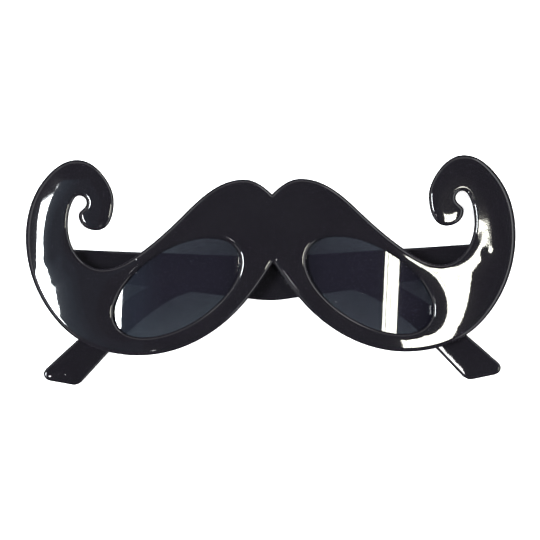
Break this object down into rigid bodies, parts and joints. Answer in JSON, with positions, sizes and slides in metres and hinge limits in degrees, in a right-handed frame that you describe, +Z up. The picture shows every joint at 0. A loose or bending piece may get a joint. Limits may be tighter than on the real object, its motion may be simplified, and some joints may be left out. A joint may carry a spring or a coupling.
{
  "type": "moustache disguise glasses",
  "caption": "Novelty glasses with a glossy black front shaped as a curled moustache, smoke lenses and folding temples with ear hooks.",
  "frame": {"origin": "middle of the bounding box, on the surface that the folded glasses lie on", "axes": "+X to the right of someone facing the front, +Y from nose to brow, +Z up, the way the front looks"},
  "size_m": [0.1634, 0.0748, 0.0172],
  "materials": {
    "black_gloss": "polished black moulding",
    "smoke_lens": "dark grey see-through sheet with a faint blue cast",
    "pin_steel": "plain wire"
  },
  "bodies": {
    "front": {"front_frame": "black_gloss", "lens_left": "smoke_lens", "lens_right": "smoke_lens", "hinge_pin_left": "pin_steel", "hinge_pin_right": "pin_steel"},
    "left_arm": {"temple_left": "black_gloss"},
    "right_arm": {"temple_right": "black_gloss"}
  },
  "joints": [
    {"name": "left_hinge", "type": "hinge", "parent": "front", "child": "left_arm", "pos_m": [-0.07057, 0.00349, 0.00599], "axis": [0, 1, 0], "range_deg": [0, 93]},
    {"name": "right_hinge", "type": "hinge", "parent": "front", "child": "right_arm", "pos_m": [0.07038, 0.00349, 0.0023], "axis": [0, -1, 0], "range_deg": [0, 90]}
  ]
}
